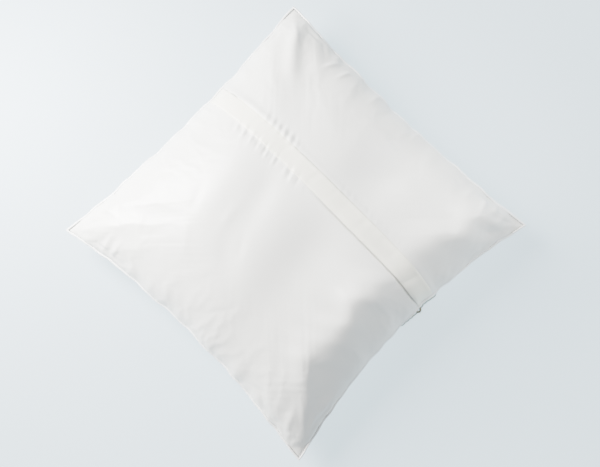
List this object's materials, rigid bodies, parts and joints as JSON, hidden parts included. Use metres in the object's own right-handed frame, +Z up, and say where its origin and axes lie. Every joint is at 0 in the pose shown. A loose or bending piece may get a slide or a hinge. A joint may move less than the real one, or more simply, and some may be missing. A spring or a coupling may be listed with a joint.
{
  "type": "ring bearer pillow",
  "caption": "Square ivory satin ring pillow with a crowned zip-off cover, a lapped zip flap across its back, edge piping and a removable insert.",
  "frame": {"origin": "centre of the pillow's outline, on the plane that its front rests on", "axes": "+Z up through the back, which carries the zip flap; +X along the flap towards the closed end of the zip; +Y towards the seam nearer the flap"},
  "size_m": [0.2033, 0.2033, 0.0585],
  "materials": {
    "cover_satin": "satin",
    "flap_satin": "satin",
    "piping_satin": "satin",
    "zip_tape_weave": "matte",
    "zip_coil_nylon": "gloss",
    "zip_stop_metal": "satin",
    "zip_slider_lacquer": "gloss",
    "insert_muslin": "matte",
    "polyester_fibre": "matte",
    "antique_gold_trim": "satin",
    "ribbon_satin": "satin"
  },
  "bodies": {
    "cover": {"front_panel": "cover_satin", "back_panel_main": "cover_satin", "back_panel_small": "cover_satin", "edge_piping": "piping_satin", "zip_tape_lower": "zip_tape_weave", "zip_tape_upper": "zip_tape_weave", "zip_coil_lower": "zip_coil_nylon", "zip_coil_upper": "zip_coil_nylon", "zip_top_stop_lower": "zip_stop_metal", "zip_top_stop_upper": "zip_stop_metal", "zip_bottom_stop": "zip_stop_metal", "insert_casing_back": "insert_muslin", "insert_casing_front": "insert_muslin", "fibre_filling": "polyester_fibre", "front_trim_band": "antique_gold_trim", "bow_loops": "ribbon_satin", "bow_tails": "ribbon_satin", "bow_knot": "ribbon_satin"},
    "flap": {"zip_flap": "flap_satin"},
    "slider": {"zip_slider": "zip_slider_lacquer"},
    "pull": {"zip_pull": "zip_slider_lacquer"}
  },
  "joints": [
    {"name": "flap_lift", "type": "hinge", "parent": "cover", "child": "flap", "pos_m": [0, 0.031, 0.05736], "axis": [-1, 0, 0], "range_deg": [0, 60]},
    {"name": "slider_travel", "type": "hinge", "parent": "cover", "child": "slider", "pos_m": [-0.00182, 0.0246, -0.15051], "axis": [0, -1, 0], "range_deg": [0, 33.5]},
    {"name": "pull_swing", "type": "hinge", "parent": "slider", "child": "pull", "pos_m": [0.06658, 0.0246, 0.04427], "axis": [0, 1, 0], "range_deg": [0, 24]}
  ],
  "couplings": [
    {"joint": "pull_swing", "follows": "flap_lift", "ratio": 0.4}
  ]
}
